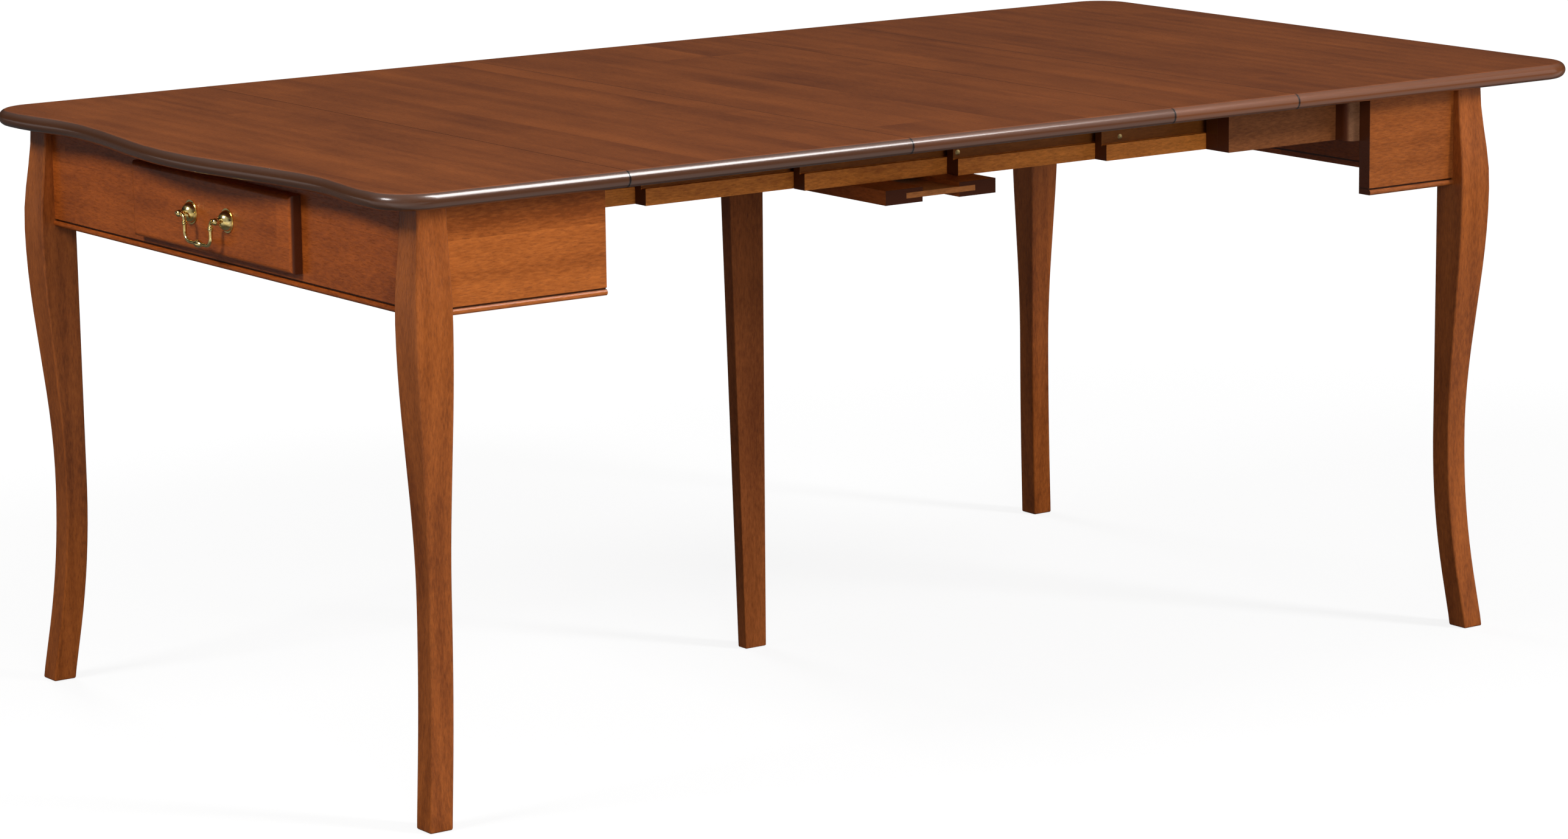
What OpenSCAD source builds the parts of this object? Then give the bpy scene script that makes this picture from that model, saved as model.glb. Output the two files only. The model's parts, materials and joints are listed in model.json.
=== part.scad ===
// Extending console table: serpentine front top, back top, three loose leaves, telescoping
// dovetailed slides, a middle frame with its own leg, and one drawer with a swan-neck pull.
// It is drawn fully extended with its leaves in. The front faces -Y, the width runs along X.

/* [Top] */
// Height of the top surface above the floor
height = 750; // [700:5:820]
// Width of the top
top_w = 1000; // [960:10:1100]
// Thickness of the tops and the leaves
top_t = 20; // [18:1:24]
// Depth of the front top at its corners
front_depth = 320; // [310:5:380]
// Depth of the back top
back_depth = 500; // [480:5:560]
// Length of each of the two full leaves
leaf_len = 410; // [400:2:420]
// Length of the half leaf
half_leaf_len = 205; // [190:5:220]
// Gap left at each seam
seam_gap = 0.5; // [0.3:0.1:1]
// Radius of the rounded corners
corner_r = 58; // [46:1:66]
// How far the bow of the front edge stands out beyond the corners
bow_out = 18; // [8:1:26]
// How far the scoops beside the bow are cut in behind the corners
scoop_in = 13; // [4:1:18]
// Distance of the deepest point of each scoop from the side of the top
scoop_side = 200; // [180:5:240]
// Width of the straight ear at each front corner
ear_w = 78; // [70:2:96]

/* [Frame] */
// Overhang of the top beyond the legs at each side
side_over = 32; // [24:1:40]
// Overhang of the front corners beyond the front legs
front_over = 50; // [40:1:60]
// Overhang of the back top beyond the back legs
back_over = 155; // [140:5:170]
// Height of the aprons
apron_h = 130; // [120:1:140]
// Thickness of the aprons
apron_t = 20; // [16:1:22]
// How far the apron faces lie behind the faces of the legs
apron_recess = 9.5; // [7:0.5:12]
// Radius of the bead along the lower edge of the aprons
bead_r = 3.5; // [2.5:0.5:5]
// How far the bead stands out from the apron face
bead_out = 2; // [1:0.5:3]
// Height of the quirk above the bead
quirk_h = 2; // [1:0.5:3]
// Distance from the first seam to the cut ends of the front side aprons
front_cut = 8; // [4:1:16]
// Distance from the last seam to the cut ends of the back side aprons
back_cut = 158; // [150:2:170]
// Width of the diagonal corner braces
brace_t = 20; // [14:1:26]
// Height of the diagonal corner braces
brace_h = 50; // [40:1:54]
// Distance of each brace along the aprons from the inner corner
brace_reach = 60; // [50:1:70]

/* [Legs] */
// Square section of the legs at the top
leg_w = 40; // [37:1:46]
// Square section of the legs at the ankle
ankle_w = 31; // [26:0.5:36]
// Square section of the feet
foot_w = 31.5; // [26:0.5:36]
// How far the knee swells out beyond the top of the leg
knee_out = 9.5; // [4:0.5:14]
// How far the ankle draws in behind the top of the leg
ankle_in = 10; // [4:0.5:14]
// How far the foot flares out beyond the top of the leg
foot_out = 8.5; // [4:0.5:14]

/* [Slides] */
// Thickness of each slide member
slide_t = 22.5; // [20:0.5:24]
// Face gap between neighbouring slide members
slide_gap = 0.5; // [0.3:0.1:1]
// Running clearance in the dovetails and above the slides
run_gap = 0.3; // [0.2:0.1:0.5]
// Height of the slide members
slide_h = 60; // [54:1:64]
// Length of the loose slide members
slide_len = 350; // [330:2:370]
// Travel of the first loose slide on the one fixed to the front half
step_first = 200; // [190:2:210]
// Travel of each of the three middle slides on the next
step_mid = 220; // [214:2:226]
// Mouth of the dovetail groove
groove_h = 18; // [14:1:20]
// Depth of the dovetail groove
groove_d = 10; // [7:0.5:11]
// How much the groove widens to each side at its floor
groove_flare = 3; // [1:0.5:4]
// Height of the lip below the groove
groove_lip = 21; // [19:0.5:22]
// How far each tongue starts behind the front end of its member
tongue_back = 25; // [15:1:40]
// Clearance behind the loose slides when the table is closed
slide_end_gap = 9; // [4:1:12]
// Thickness of the planks that carry the last slides
plank_t = 22; // [18:1:26]
// Thickness of the spacer blocks between the planks and the side aprons
spacer_t = 25; // [18:0.5:28]
// How far the spacer blocks start in front of the cut ends of the back aprons
spacer_out = 19; // [10:1:30]

/* [Middle frame] */
// Width of the two bearers
bearer_w = 57; // [48:1:62]
// Thickness of the bearers
bearer_t = 18.5; // [16:0.5:22]
// Gap between the bearers
bearer_gap = 57; // [54:1:62]
// Distance of the ends of the bearers from the inner faces of the side aprons
bearer_in = 50; // [42:1:56]
// Distance of the middle frame from the front ends of the slides it hangs on
frame_back = 160; // [154:2:164]
// Thickness of the plate let into the bearers
plate_t = 7; // [5:0.5:9]
// Depth of the grooves that hold the plate
plate_in = 25; // [15:1:30]
// Height of the plate above the underside of the bearers
plate_up = 6; // [4:0.5:7]
// How far the middle leg stands to the left of the centre line
mid_leg_off = 39; // [20:1:50]
// Width of the middle leg at its top, along the slides
mid_leg_w = 55; // [48:1:56]
// Width of the middle leg at its foot
mid_leg_foot_w = 33.5; // [28:0.5:40]
// Thickness of the middle leg at its top
mid_leg_t = 22; // [18:1:28]
// Thickness of the middle leg at its foot
mid_leg_foot_t = 18.5; // [16:0.5:24]
// Height of the block that the middle leg is fixed to
leg_block_h = 35; // [24:1:40]
// Length of the block that the middle leg is fixed to
leg_block_l = 60; // [40:2:80]

/* [Drawer] */
// Width of the drawer front
drawer_w = 386; // [340:2:410]
// Height of the drawer front
drawer_h = 94; // [86:1:98]
// Height of the lower edge of the drawer front above the apron's lower edge
drawer_up = 18; // [15:1:20]
// Thickness of the drawer front
drawer_front_t = 15; // [13:1:18]
// Radius of the rounded edges of the drawer front
drawer_edge_r = 6; // [3:0.5:8]
// Overlap of the drawer front on the apron, all round
drawer_lip = 7; // [5:1:10]
// Clearance of the drawer box in its opening
drawer_clear = 2; // [1:0.5:3]
// Depth of the drawer box behind the apron face
drawer_len = 236; // [200:2:240]
// Thickness of the drawer sides, box front and back
drawer_side_t = 12; // [9:0.5:14]
// Thickness of the drawer bottom
drawer_bottom_t = 5; // [3:0.5:7]
// Width of the drawer runners
runner_w = 34; // [26:1:40]
// Thickness of the rail behind the drawer
back_rail_t = 18; // [14:1:22]

/* [Pull] */
// Spacing of the two posts
pull_w = 88; // [80:2:110]
// Diameter of the rosettes
rosette_d = 30; // [26:1:38]
// Height of the rosette domes
rosette_h = 12; // [8:0.5:12.5]
// Distance of the bail's pivot from the drawer front
post_len = 16.5; // [15:0.5:24]
// Diameter of the ball at the end of each post
post_ball_d = 9; // [8:0.5:11]
// Diameter of the post shafts
post_d = 6; // [5:0.5:7]
// Diameter of the bail's rod
bail_d = 4.6; // [4:0.2:6]
// Diameter of the pivot pins at the ends of the bail
bail_pin_d = 3; // [2.6:0.1:3.6]
// Running clearance round the pivot pins, on the radius
pin_clear = 0.1; // [0.05:0.01:0.1]
// Drop of the bail below its pivots
bail_drop = 34; // [32:1:40]
// How far the arms of the bail stand inside the posts
bail_in = 12.5; // [11.5:0.5:20]
// Radius of the bail's lower bends
bail_bend_r = 12; // [9:0.5:14]
// Diameter of the knop in the middle of the bail
knop_d = 9.5; // [6:0.5:11]

/* [Pegs] */
// Diameter of the alignment pegs
peg_d = 8; // [6:0.5:9]
// How far the pegs stand out of their edge
peg_out = 14; // [10:1:18]
// How deep the pegs are glued in
peg_in = 16; // [12:1:24]
// Clearance of the pegs in their sockets, on the radius
peg_clear = 0.3; // [0.2:0.05:0.6]
// Distance of the outer pegs from the centre line
peg_x = 300; // [260:5:360]
// Distance of the inner pegs from the centre line
peg_x_in = 180; // [120:5:220]

/* [Hidden] */

// Number of segments on round parts
$fn = 48;
// Overshoot of cuts through a face
e = 0.5;
// How far each tongue runs on into its own member
tongue_root = 1;

// Levels
top_z = height - top_t;
edge_r = top_t / 2;
peg_z = height - edge_r;
apron_z = top_z - apron_h;
slide_top = top_z - run_gap;
slide_z = slide_top - slide_h;

// Seams, from front to back
travel = 2 * leaf_len + half_leaf_len;
total_len = bow_out + front_depth + travel + back_depth;
front_y = -total_len / 2 + bow_out;
scoop_x = top_w / 2 - scoop_side;
ear_x = top_w / 2 - ear_w;
seam_1 = front_y + front_depth;
seam_2 = seam_1 + leaf_len;
seam_3 = seam_2 + leaf_len;
seam_4 = seam_3 + half_leaf_len;
back_y = total_len / 2;

// Legs and aprons
leg_x = top_w / 2 - side_over;
leg_front_y = front_y + front_over;
leg_back_y = back_y - back_over;
leg_in_x = leg_x - leg_w;
leg_in_front_y = leg_front_y + leg_w;
leg_in_back_y = leg_back_y - leg_w;
apron_x = leg_x - apron_recess;
apron_in_x = apron_x - apron_t;
apron_front_y = leg_front_y + apron_recess;
apron_in_front_y = apron_front_y + apron_t;
apron_back_y = leg_back_y - apron_recess;
apron_in_back_y = apron_back_y - apron_t;
cut_front_y = seam_1 - front_cut;
cut_back_y = seam_4 + back_cut;

// Slides: the front ends of all members line up when the table is closed
step_last = travel - step_first - 3 * step_mid;
slide_pitch = slide_t + slide_gap;
plank_x = apron_in_x - spacer_t - plank_t;
slide_x = plank_x - slide_t - 5 * slide_pitch;
slide_f_len = slide_len + slide_end_gap;
slide_f_y = apron_in_back_y - slide_f_len;
slide_e_y = slide_f_y - step_last;
slide_d_y = slide_e_y - step_mid;
slide_c_y = slide_d_y - step_mid;
slide_b_y = slide_c_y - step_mid;
slide_a_len = slide_b_y - step_first + slide_len - apron_in_front_y;
groove_z = groove_lip + groove_h / 2;
bearer_half = apron_in_x - bearer_in;
bearer_top = slide_z - run_gap;
bearer_z = bearer_top - bearer_t;
frame_y = slide_c_y + frame_back;
mid_leg_heel_in = 3;

// Drawer
drawer_z = apron_z + drawer_up;
open_w = drawer_w - 2 * drawer_lip;
open_z = drawer_z + drawer_lip;
open_h = drawer_h - 2 * drawer_lip;
box_w = open_w - 2 * drawer_clear;
box_z = open_z + drawer_clear;
box_h = open_h - 2 * drawer_clear;
box_back_y = apron_front_y + drawer_len;
rail_y = box_back_y + drawer_clear;
bottom_up = 6;
bottom_in = drawer_side_t / 2;
drawer_face_y = apron_front_y - drawer_front_t;
runner_low = 14;
runner_past = 4;
runner_under = drawer_side_t + runner_past;
kicker_w = 40;

// Pull
pull_z = drawer_z + drawer_h / 2;
pivot_y = drawer_face_y - post_len;
post_x = pull_w / 2;
arm_x = post_x - bail_in;
bolt_r = 2.2;
nut_r = 4.5;
nut_t = 4;
rim_t = 1.2;
rim_w = 2;
collar_r = 1.5;
ring_r = 1.4;
ring_step = 1.6 * ring_r;
ring_drop = ring_r + 0.4;
// Height of the dome above the rim, and the radius of the sphere that it belongs to
dome_h = rosette_h - rim_t;
dome_r = (pow(rosette_d / 2 - rim_w, 2) + pow(dome_h, 2)) / (2 * dome_h);

pin_play = 0.5;
pin_head_t = 2;
pin_collar_t = 2.5;
pin_collar_w = 0.8;

// Depth of the sockets that take the pegs
socket_spare = 2;
socket_in = peg_out + socket_spare;

// Outline of the front edge: one bow, a scoop on each side, straight ears at the corners
function edge_y(x) = abs(x) < scoop_x
    ? front_y + scoop_in - (bow_out + scoop_in) * (1 + cos(180 * x / scoop_x)) / 2
    : abs(x) < ear_x
        ? front_y + scoop_in * (1 + cos(180 * (abs(x) - scoop_x) / (ear_x - scoop_x))) / 2
        : front_y;
function edge_slope(x) = (edge_y(x + 0.5) - edge_y(x - 0.5));
function edge_point(x, inset) = let (s = edge_slope(x), n = sqrt(1 + s * s))
    [x - inset * s / n, edge_y(x) + inset / n];

corner_x = top_w / 2 - corner_r;
corner_steps = 9;
edge_steps = 30;
edge_xs = [for (i = [0:edge_steps]) corner_x * (1 - 2 * i / edge_steps)];
function corner_points(sx, inset) = [for (i = [0:corner_steps])
    let (a = 90 * (sx > 0 ? i : corner_steps - i) / corner_steps, r = corner_r - inset)
    [sx * (corner_x + r * cos(a)), front_y + corner_r - r * sin(a)]];
function front_ring(inset) = concat(
    [[top_w / 2 - inset, seam_1 - seam_gap / 2]],
    corner_points(1, inset),
    [for (i = [1:edge_steps - 1]) edge_point(edge_xs[i], inset)],
    corner_points(-1, inset),
    [[inset - top_w / 2, seam_1 - seam_gap / 2]]);

// Outline of a cabriole leg, seen square on: f runs from 0 at the floor to 1 at the top
ankle_f = 0.36;
knee_f = 0.82;
flare_power = 0.6;
leg_steps = 30;
function ease(t) = (1 - cos(180 * t)) / 2;
function blend(a, b, t) = a + (b - a) * ease(t);
function leg_outer(f) = f < ankle_f
    ? blend(foot_out, -ankle_in, pow(f / ankle_f, flare_power))
    : f < knee_f
        ? blend(-ankle_in, knee_out, (f - ankle_f) / (knee_f - ankle_f))
        : blend(knee_out, 0, (f - knee_f) / (1 - knee_f));
function leg_inner(f) = f < ankle_f
    ? blend(foot_out - foot_w, -ankle_in - ankle_w, pow(f / ankle_f, flare_power))
    : f < knee_f
        ? blend(-ankle_in - ankle_w, -leg_w, (f - ankle_f) / (knee_f - ankle_f))
        : -leg_w;
leg_fs = [for (i = [0:leg_steps]) pow(i / leg_steps, 1.15)];

module leg_profile()
    polygon(concat(
        [for (f = leg_fs) [leg_outer(f), f * top_z]],
        [for (i = [leg_steps:-1:0]) [leg_inner(leg_fs[i]), leg_fs[i] * top_z]]));

// One leg at the outer corner of the frame, sawn to the same curve from two sides
module cabriole_leg(sx, sy, y) {
    reach = 2 * leg_w;
    color("saddlebrown")
        intersection() {
            translate([sx * leg_x, y, 0])
                mirror([sx < 0 ? 1 : 0, 0, 0])
                    rotate([90, 0, 0])
                        linear_extrude(height = 2 * reach, center = true)
                            leg_profile();
            translate([sx * leg_x, y, 0])
                mirror([0, sy < 0 ? 1 : 0, 0])
                    rotate([90, 0, 90])
                        linear_extrude(height = 2 * reach, center = true)
                            leg_profile();
        }
}

// Section of a leaf across its width, with a bullnose at both ends
module leaf_section() {
    translate([edge_r - top_w / 2, -edge_r])
        square([top_w - top_t, top_t]);
    for (sx = [-1, 1])
        translate([sx * (top_w / 2 - edge_r), 0])
            circle(r = edge_r);
}

// A board with the leaf section from y0 to y1
module leaf_board(y0, y1)
    translate([0, y1, peg_z])
        rotate([90, 0, 0])
            linear_extrude(height = y1 - y0)
                leaf_section();

// Round hole along Y from y0 to y1 at distance x on both sides
module cross_holes(x, r, y0, y1)
    for (sx = [-1, 1])
        translate([sx * x, y1, peg_z])
            rotate([90, 0, 0])
                cylinder(r = r, h = y1 - y0);

// Slots that are open below, so that a leaf lifts straight off the pegs in its neighbour
module peg_slots(x, y0, y1) {
    r = peg_d / 2 + peg_clear;
    cross_holes(x, r, y0, y1);
    for (sx = [-1, 1])
        translate([sx * x - r, y0, top_z - e])
            cube([2 * r, y1 - y0, edge_r + e]);
}

module pegs(x, y)
    color("burlywood")
        for (sx = [-1, 1])
            translate([sx * x, y, peg_z])
                rotate([90, 0, 0])
                    cylinder(d = peg_d, h = peg_in + peg_out);

module top_front() {
    half = 6;
    layers = [for (i = [-half:half]) 90 * i / half];
    rings = [for (a = layers) front_ring(edge_r * (1 - cos(a)))];
    n = len(rings[0]);
    points = [for (k = [0:len(layers) - 1]) for (p = rings[k])
        [p[0], p[1], peg_z + edge_r * sin(layers[k])]];
    sides = [for (k = [0:len(layers) - 2]) for (i = [0:n - 2])
        [k * n + i, k * n + i + 1, (k + 1) * n + i + 1, (k + 1) * n + i]];
    seam = [concat([for (k = [0:len(layers) - 1]) k * n + n - 1],
        [for (k = [len(layers) - 1:-1:0]) k * n])];
    bottom = [[for (i = [n - 1:-1:0]) i]];
    top = [[for (i = [0:n - 1]) (len(layers) - 1) * n + i]];
    seam_y = seam_1 - seam_gap / 2;
    color("sienna")
        difference() {
            polyhedron(points = points, faces = concat(sides, seam, bottom, top), convexity = 4);
            cross_holes(peg_x, peg_d / 2, seam_y - peg_in, seam_y + e);
            cross_holes(peg_x_in, peg_d / 2 + peg_clear, seam_y - socket_in, seam_y + e);
        }
}

module top_back() {
    seam_y = seam_4 + seam_gap / 2;
    corner_y = back_y - corner_r;
    color("sienna")
        difference() {
            union() {
                leaf_board(seam_y, corner_y);
                translate([-corner_x, 0, peg_z])
                    rotate([90, 0, 90])
                        linear_extrude(height = 2 * corner_x) {
                            translate([corner_y, -edge_r])
                                square([corner_r - edge_r, top_t]);
                            translate([back_y - edge_r, 0])
                                circle(r = edge_r);
                        }
                for (sx = [-1, 1])
                    translate([sx * corner_x, corner_y, peg_z])
                        rotate([0, 0, sx > 0 ? 0 : 90])
                            rotate_extrude(angle = 90) {
                                translate([0, -edge_r])
                                    square([corner_r - edge_r, top_t]);
                                translate([corner_r - edge_r, 0])
                                    intersection() {
                                        circle(r = edge_r);
                                        translate([0, -edge_r])
                                            square([edge_r, top_t]);
                                    }
                            }
            }
            cross_holes(peg_x_in, peg_d / 2, seam_y - e, seam_y + peg_in);
            cross_holes(peg_x, peg_d / 2 + peg_clear, seam_y - e, seam_y + socket_in);
        }
}

module leaf_1() {
    y0 = seam_1 + seam_gap / 2;
    y1 = seam_2 - seam_gap / 2;
    color("sienna")
        difference() {
            leaf_board(y0, y1);
            peg_slots(peg_x, y0 - e, y0 + socket_in);
            cross_holes(peg_x, peg_d / 2, y1 - peg_in, y1 + e);
        }
}

module leaf_2() {
    y0 = seam_2 + seam_gap / 2;
    y1 = seam_3 - seam_gap / 2;
    color("sienna")
        difference() {
            leaf_board(y0, y1);
            cross_holes(peg_x, peg_d / 2 + peg_clear, y0 - e, y0 + socket_in);
            cross_holes(peg_x, peg_d / 2, y1 - peg_in, y1 + e);
        }
}

module leaf_3() {
    y0 = seam_3 + seam_gap / 2;
    y1 = seam_4 - seam_gap / 2;
    color("sienna")
        difference() {
            leaf_board(y0, y1);
            cross_holes(peg_x, peg_d / 2 + peg_clear, y0 - e, y0 + socket_in);
            peg_slots(peg_x_in, y1 - socket_in, y1 + e);
        }
}

module leaf_pegs_1() pegs(peg_x, seam_2 - seam_gap / 2 + peg_out);
module leaf_pegs_2() pegs(peg_x, seam_3 - seam_gap / 2 + peg_out);
module top_pegs_front() pegs(peg_x, seam_1 - seam_gap / 2 + peg_out);
module top_pegs_back() pegs(peg_x_in, seam_4 + seam_gap / 2 + peg_in);

module leg_front_left() cabriole_leg(-1, -1, leg_front_y);
module leg_front_right() cabriole_leg(1, -1, leg_front_y);
module leg_back_left() cabriole_leg(-1, 1, leg_back_y);
module leg_back_right() cabriole_leg(1, 1, leg_back_y);

// Apron section: u is the distance out from the inner face, with a bead at the lower edge
module apron_section(h)
    difference() {
        union() {
            square([apron_t, h]);
            translate([apron_t + bead_out - bead_r, bead_r])
                circle(r = bead_r);
        }
        translate([apron_t - bead_out, 2 * bead_r])
            square([bead_out + e, quirk_h]);
    }

// Apron along Y between y0 and y1, facing out on the side sx
module side_apron(sx, y0, y1)
    color("peru")
        mirror([sx < 0 ? 1 : 0, 0, 0])
            translate([apron_in_x, y1, apron_z])
                rotate([90, 0, 0])
                    linear_extrude(height = y1 - y0)
                        apron_section(apron_h);

// Apron along X between x0 and x1, facing out on the side sy
module cross_apron(sy, y_in, x0, x1, h)
    color("peru")
        translate([0, y_in, apron_z])
            mirror([0, sy < 0 ? 1 : 0, 0])
                translate([x0, 0, 0])
                    rotate([90, 0, 90])
                        linear_extrude(height = x1 - x0)
                            apron_section(h);

module apron_front_left() cross_apron(-1, apron_in_front_y, -leg_in_x, -open_w / 2, apron_h);
module apron_front_right() cross_apron(-1, apron_in_front_y, open_w / 2, leg_in_x, apron_h);
module apron_front_lower()
    cross_apron(-1, apron_in_front_y, -open_w / 2, open_w / 2, open_z - apron_z);
module apron_front_upper()
    color("peru")
        translate([-open_w / 2, apron_front_y, open_z + open_h])
            cube([open_w, apron_t, top_z - open_z - open_h]);
module apron_side_front_left() side_apron(-1, leg_in_front_y, cut_front_y);
module apron_side_front_right() side_apron(1, leg_in_front_y, cut_front_y);
module apron_back() cross_apron(1, apron_in_back_y, -leg_in_x, leg_in_x, apron_h);
module apron_side_back_left() side_apron(-1, cut_back_y, leg_in_back_y);
module apron_side_back_right() side_apron(1, cut_back_y, leg_in_back_y);

// Diagonal brace across an inner corner at (apron_in_x, y), its ends flush with both aprons
module corner_braces(sy, y)
    color("burlywood")
        for (sx = [-1, 1])
            translate([sx * apron_in_x, y, apron_z + bead_r])
                mirror([sx < 0 ? 1 : 0, 0, 0])
                    mirror([0, sy < 0 ? 0 : 1, 0])
                        linear_extrude(height = brace_h)
                            polygon([
                                [0, brace_reach], [0, brace_reach + brace_t * sqrt(2)],
                                [-brace_reach - brace_t * sqrt(2), 0], [-brace_reach, 0]]);

module corner_braces_front() corner_braces(-1, apron_in_front_y);
module corner_braces_back() corner_braces(1, apron_in_back_y);

// Dovetail as seen from the end: the mouth lies at u = 0 and the floor at u = -depth
module dovetail(depth, gap, past) {
    slope = groove_flare / groove_d;
    mouth = groove_h / 2 - gap + slope * -past;
    floor_h = groove_h / 2 - gap + slope * depth;
    polygon([[past, -mouth], [past, mouth], [-depth, floor_h], [-depth, -floor_h]]);
}

// Section of slide member i: u runs outwards from its inner face
module slide_section(h, grooved)
    difference() {
        square([slide_t, h]);
        if (grooved)
            translate([slide_t, groove_z + h - slide_h])
                dovetail(groove_d, 0, e);
    }

// Slide member i on the side sx, from y, len long
module slide_member(sx, i, y, len, tongue, grooved, foot) {
    x = slide_x + i * slide_pitch;
    h = slide_h + foot;
    color("goldenrod")
        mirror([sx < 0 ? 1 : 0, 0, 0])
            translate([x, y + len, slide_top - h])
                rotate([90, 0, 0])
                    union() {
                        linear_extrude(height = len)
                            slide_section(h, grooved);
                        if (tongue)
                            linear_extrude(height = len - tongue_back)
                                translate([-slide_gap, groove_z + foot])
                                    dovetail(groove_d - run_gap, run_gap, slide_gap + tongue_root);
                    }
}

module slide_a(sx) slide_member(sx, 0, apron_in_front_y, slide_a_len, false, true, 0);
module slide_b(sx) slide_member(sx, 1, slide_b_y, slide_len, true, true, 0);
module slide_c(sx) slide_member(sx, 2, slide_c_y, slide_len, true, true, run_gap);
module slide_d(sx) slide_member(sx, 3, slide_d_y, slide_len, true, true, 0);
module slide_e(sx) slide_member(sx, 4, slide_e_y, slide_len, true, true, 0);
module slide_f(sx) slide_member(sx, 5, slide_f_y, slide_f_len, true, false, 0);

module slide_a_left() slide_a(-1);
module slide_b_left() slide_b(-1);
module slide_c_left() slide_c(-1);
module slide_d_left() slide_d(-1);
module slide_e_left() slide_e(-1);
module slide_f_left() slide_f(-1);
module slide_a_right() slide_a(1);
module slide_b_right() slide_b(1);
module slide_c_right() slide_c(1);
module slide_d_right() slide_d(1);
module slide_e_right() slide_e(1);
module slide_f_right() slide_f(1);

// Plank that joins the last slide to the back half
module slide_plank(sx)
    color("rosybrown")
        mirror([sx < 0 ? 1 : 0, 0, 0])
            translate([plank_x, slide_f_y, slide_z])
                cube([plank_t, slide_f_len, slide_h]);

module slide_plank_left() slide_plank(-1);
module slide_plank_right() slide_plank(1);

// Blocks between the planks and the back side aprons, with one rounded front edge
module slide_spacers() {
    y0 = cut_back_y - spacer_out;
    r = spacer_t / 2;
    color("tan")
        for (sx = [-1, 1])
            mirror([sx < 0 ? 1 : 0, 0, 0])
                translate([plank_x + plank_t, y0, slide_z])
                    linear_extrude(height = slide_h) {
                        translate([0, r])
                            square([spacer_t, leg_in_back_y - y0 - r]);
                        square([spacer_t - r, r + e]);
                        translate([spacer_t - r, r])
                            circle(r = r);
                    }
}

// Bearer under the slides, with a groove in its inner edge for the plate
module bearer(sy)
    color("saddlebrown")
        difference() {
            translate([-bearer_half, frame_y + (sy < 0 ? -bearer_gap / 2 - bearer_w : bearer_gap / 2),
                bearer_z])
                cube([2 * bearer_half, bearer_w, bearer_t]);
            translate([-bearer_half - e, frame_y - bearer_gap / 2 - plate_in, bearer_z + plate_up])
                cube([2 * (bearer_half + e), bearer_gap + 2 * plate_in, plate_t]);
        }

module bearer_front() bearer(-1);
module bearer_back() bearer(1);

module bearer_plate()
    color("wheat")
        translate([-bearer_half, frame_y - bearer_gap / 2 - plate_in, bearer_z + plate_up])
            cube([2 * bearer_half, bearer_gap + 2 * plate_in, plate_t]);

// Straight tapered leg under the plate: most of its taper lies on the front side
module middle_leg() {
    h = bearer_z + plate_up;
    back = mid_leg_w / 2;
    foot_back = back - mid_leg_heel_in;
    color("saddlebrown")
        intersection() {
            translate([-mid_leg_off, frame_y, 0])
                rotate([90, 0, 90])
                    linear_extrude(height = 2 * mid_leg_t, center = true)
                        polygon([[foot_back - mid_leg_foot_w, 0], [foot_back, 0], [back, h],
                            [back - mid_leg_w, h]]);
            translate([-mid_leg_off, frame_y, 0])
                rotate([90, 0, 0])
                    linear_extrude(height = 2 * mid_leg_w, center = true)
                        polygon([[-mid_leg_foot_t / 2, 0], [mid_leg_foot_t / 2, 0],
                            [mid_leg_t / 2, h], [-mid_leg_t / 2, h]]);
        }
}

// Block beside the top of the middle leg, screwed up into the plate
module middle_leg_block() {
    h = bearer_z + plate_up;
    z0 = h - leg_block_h;
    x0 = mid_leg_t / 2 - mid_leg_off;
    x_low = x0 - (mid_leg_t - mid_leg_foot_t) / 2 * leg_block_h / h;
    color("burlywood")
        translate([0, frame_y + bearer_gap / 2, 0])
            rotate([90, 0, 0])
                linear_extrude(height = bearer_gap)
                    polygon([[x_low, z0], [x0 + leg_block_l, z0], [x0 + leg_block_l, h], [x0, h]]);
}

// Drawer front: a lipped board whose outer edges are rounded on all four sides
module rounded_strip(w)
    difference() {
        translate([-w / 2, 0])
            square([w, drawer_front_t]);
        for (s = [-1, 1])
            translate([s * (w / 2 - drawer_edge_r), drawer_edge_r])
                difference() {
                    translate([s > 0 ? 0 : -drawer_edge_r - e, -drawer_edge_r - e])
                        square([drawer_edge_r + e, drawer_edge_r + e]);
                    circle(r = drawer_edge_r);
                }
    }

module drawer_front()
    color("peru")
        difference() {
            translate([0, drawer_face_y, drawer_z + drawer_h / 2])
                intersection() {
                    linear_extrude(height = drawer_h, center = true)
                        rounded_strip(drawer_w);
                    rotate([0, 90, 0])
                        linear_extrude(height = drawer_w, center = true)
                            rounded_strip(drawer_h);
                }
            post_holes(bolt_r, drawer_face_y - e, apron_front_y + e);
        }

module post_holes(r, y0, y1)
    for (sx = [-1, 1])
        translate([sx * post_x, y1, pull_z])
            rotate([90, 0, 0])
                cylinder(r = r, h = y1 - y0);

module drawer_box_front()
    color("burlywood")
        difference() {
            translate([-box_w / 2 + drawer_side_t, apron_front_y, box_z])
                cube([box_w - 2 * drawer_side_t, drawer_side_t, box_h]);
            drawer_bottom_space();
            post_holes(bolt_r, apron_front_y - e, apron_front_y + drawer_side_t + e);
        }

// Space taken by the bottom panel, which is let into the sides and the box front
module drawer_bottom_space()
    translate([-box_w / 2 + bottom_in, apron_front_y + bottom_in, box_z + bottom_up])
        cube([box_w - 2 * bottom_in, drawer_len - bottom_in, drawer_bottom_t]);

module drawer_side(sx)
    color("burlywood")
        difference() {
            mirror([sx < 0 ? 1 : 0, 0, 0])
                translate([box_w / 2 - drawer_side_t, apron_front_y, box_z])
                    cube([drawer_side_t, drawer_len, box_h]);
            drawer_bottom_space();
        }

module drawer_side_left() drawer_side(-1);
module drawer_side_right() drawer_side(1);

// The back stands on the bottom panel
module drawer_back()
    color("burlywood")
        translate([-box_w / 2 + drawer_side_t, box_back_y - drawer_side_t,
            box_z + bottom_up + drawer_bottom_t])
            cube([box_w - 2 * drawer_side_t, drawer_side_t, box_h - bottom_up - drawer_bottom_t]);

module drawer_bottom()
    color("wheat")
        drawer_bottom_space();

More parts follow.
